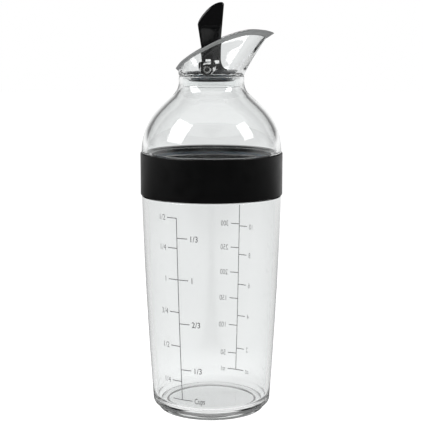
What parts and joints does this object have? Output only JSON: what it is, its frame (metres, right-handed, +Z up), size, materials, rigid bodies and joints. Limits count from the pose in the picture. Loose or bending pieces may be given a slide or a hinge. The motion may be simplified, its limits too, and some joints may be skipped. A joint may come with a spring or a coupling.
{
  "type": "oil and vinegar dispenser",
  "caption": "Clear graduated bottle with a screw-on domed lid, black grip band, flared pouring spout and a lever that tilts a sealed stopper.",
  "frame": {"origin": "centre of the ring foot, on the surface that the bottle stands on", "axes": "+Z up along the bottle, +X towards the spout's pouring lip, +Y across the lever's pin"},
  "size_m": [0.0768, 0.0768, 0.221],
  "materials": {
    "clear_plastic": "polished, transparent",
    "silicone": "satin, moulded",
    "grip_black": "fine matte, moulded",
    "pin_steel": "turned",
    "gloss_black": "gloss",
    "smoke_plastic": "semi-gloss"
  },
  "bodies": {
    "container": {"container": "clear_plastic"},
    "gasket": {"lid_gasket": "silicone"},
    "lid": {"dome_lid": "clear_plastic", "grip_band": "grip_black", "pour_spout": "clear_plastic", "pivot_pin": "pin_steel"},
    "stopper": {"lever": "gloss_black", "stopper_plate": "smoke_plastic", "stopper_seal": "silicone"}
  },
  "joints": [
    {"name": "lid_lift", "type": "slide", "parent": "container", "child": "gasket", "axis": [0, 0, 1], "range_m": [0, 0.01]},
    {"name": "lid_turn", "type": "hinge", "parent": "gasket", "child": "lid", "pos_m": [0, 0, 0.1212], "axis": [0, 0, 1], "range_deg": [0, 720]},
    {"name": "stopper_tilt", "type": "hinge", "parent": "lid", "child": "stopper", "pos_m": [-0.0023, 0, 0.1862], "axis": [0, -1, 0], "range_deg": [0, 70]}
  ],
  "couplings": [
    {"joint": "lid_turn", "follows": "lid_lift", "rad_per_m": 1256.6}
  ]
}
